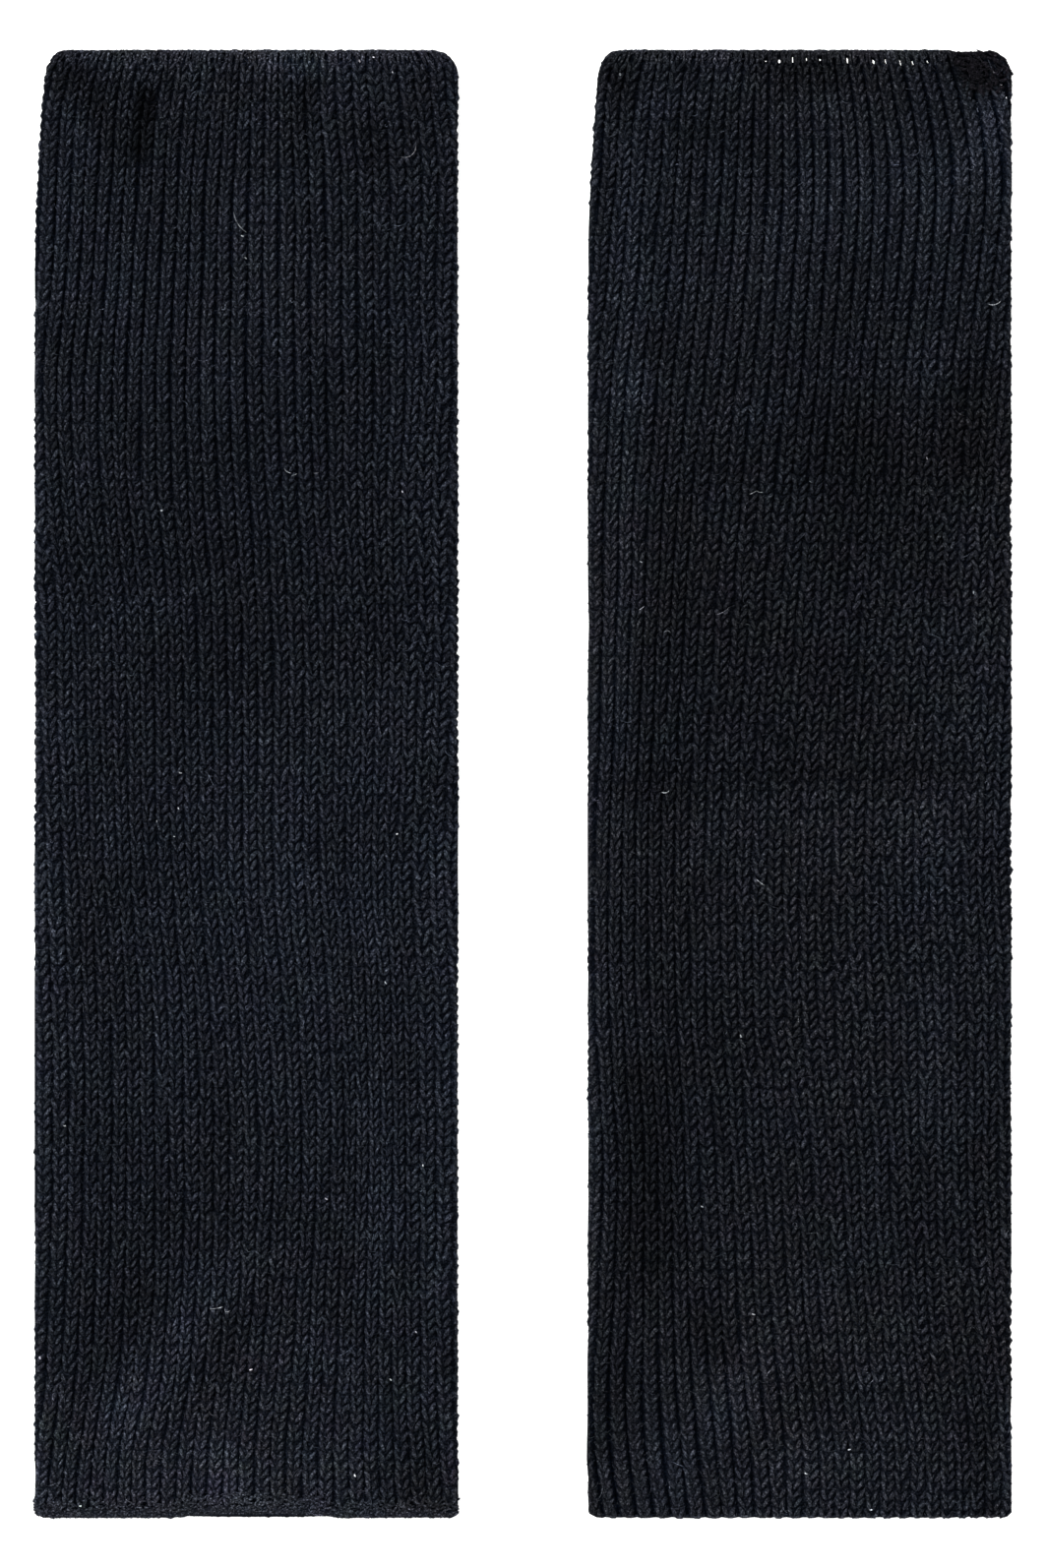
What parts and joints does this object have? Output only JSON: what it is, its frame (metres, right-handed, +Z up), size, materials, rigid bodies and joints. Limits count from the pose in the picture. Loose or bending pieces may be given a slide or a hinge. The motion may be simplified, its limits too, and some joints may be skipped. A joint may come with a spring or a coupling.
{
  "type": "pair of leg warmers",
  "caption": "Pair of plain knitted leg warmers laid flat side by side, each a straight ribbed tube with a linked top edge and a rolled hem.",
  "frame": {"origin": "centre of the pair's footprint on the surface that it lies on", "axes": "+Z up from the surface, +Y along both tubes towards their linked top edges, +X across the pair towards the right leg"},
  "size_m": [0.2662, 0.4, 0.0073],
  "materials": {
    "knit_yarn": "matt brushed acrylic knit, blue-black, light fuzz",
    "edge_yarn": "matt linked loops of the same yarn, blue-black",
    "hem_yarn": "matt fuzzy rolled edge of the same yarn, blue-black"
  },
  "bodies": {
    "root": {"left_top_edge": "edge_yarn", "left_tube": "knit_yarn", "left_hem": "hem_yarn", "right_top_edge": "edge_yarn", "right_tube": "knit_yarn", "right_hem": "hem_yarn"}
  },
  "joints": []
}
